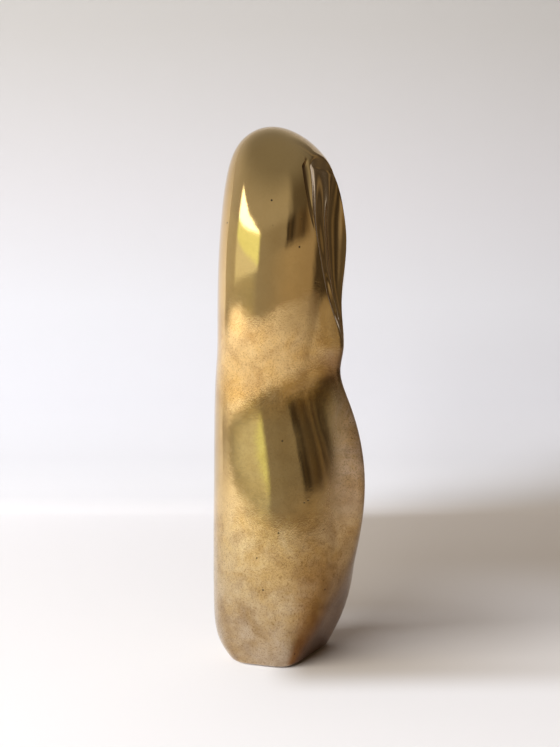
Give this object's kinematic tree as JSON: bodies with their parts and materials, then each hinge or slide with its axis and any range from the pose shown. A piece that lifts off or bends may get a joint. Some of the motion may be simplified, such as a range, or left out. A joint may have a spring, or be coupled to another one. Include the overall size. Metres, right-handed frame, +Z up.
{
  "type": "owl sculpture",
  "caption": "Smooth standing owl in polished, tarnished brass: a hollow casting with a scooped heart-shaped face, closed below by a screwed plate with a felt pad.",
  "frame": {"origin": "on the table, under the middle of the head and body's sections, on the felt pad's underside", "axes": "+Z up, the owl faces -Y, its right side is -X"},
  "size_m": [0.0632, 0.0582, 0.2],
  "materials": {
    "cast_brass": "polished head, satin and tarnished lower body",
    "plug_brass": "chased and polished flush",
    "plate_brass": "as sawn, fine scratches",
    "screw_steel": "zinc plated",
    "felt": "dense wool felt"
  },
  "bodies": {
    "root": {"body_casting": "cast_brass", "core_plug_back_upper": "plug_brass", "core_plug_back_lower": "plug_brass", "core_plug_right": "plug_brass", "core_plug_left": "plug_brass", "base_plate": "plate_brass", "base_screw_right": "screw_steel", "base_screw_left": "screw_steel", "felt_pad": "felt"}
  },
  "joints": []
}
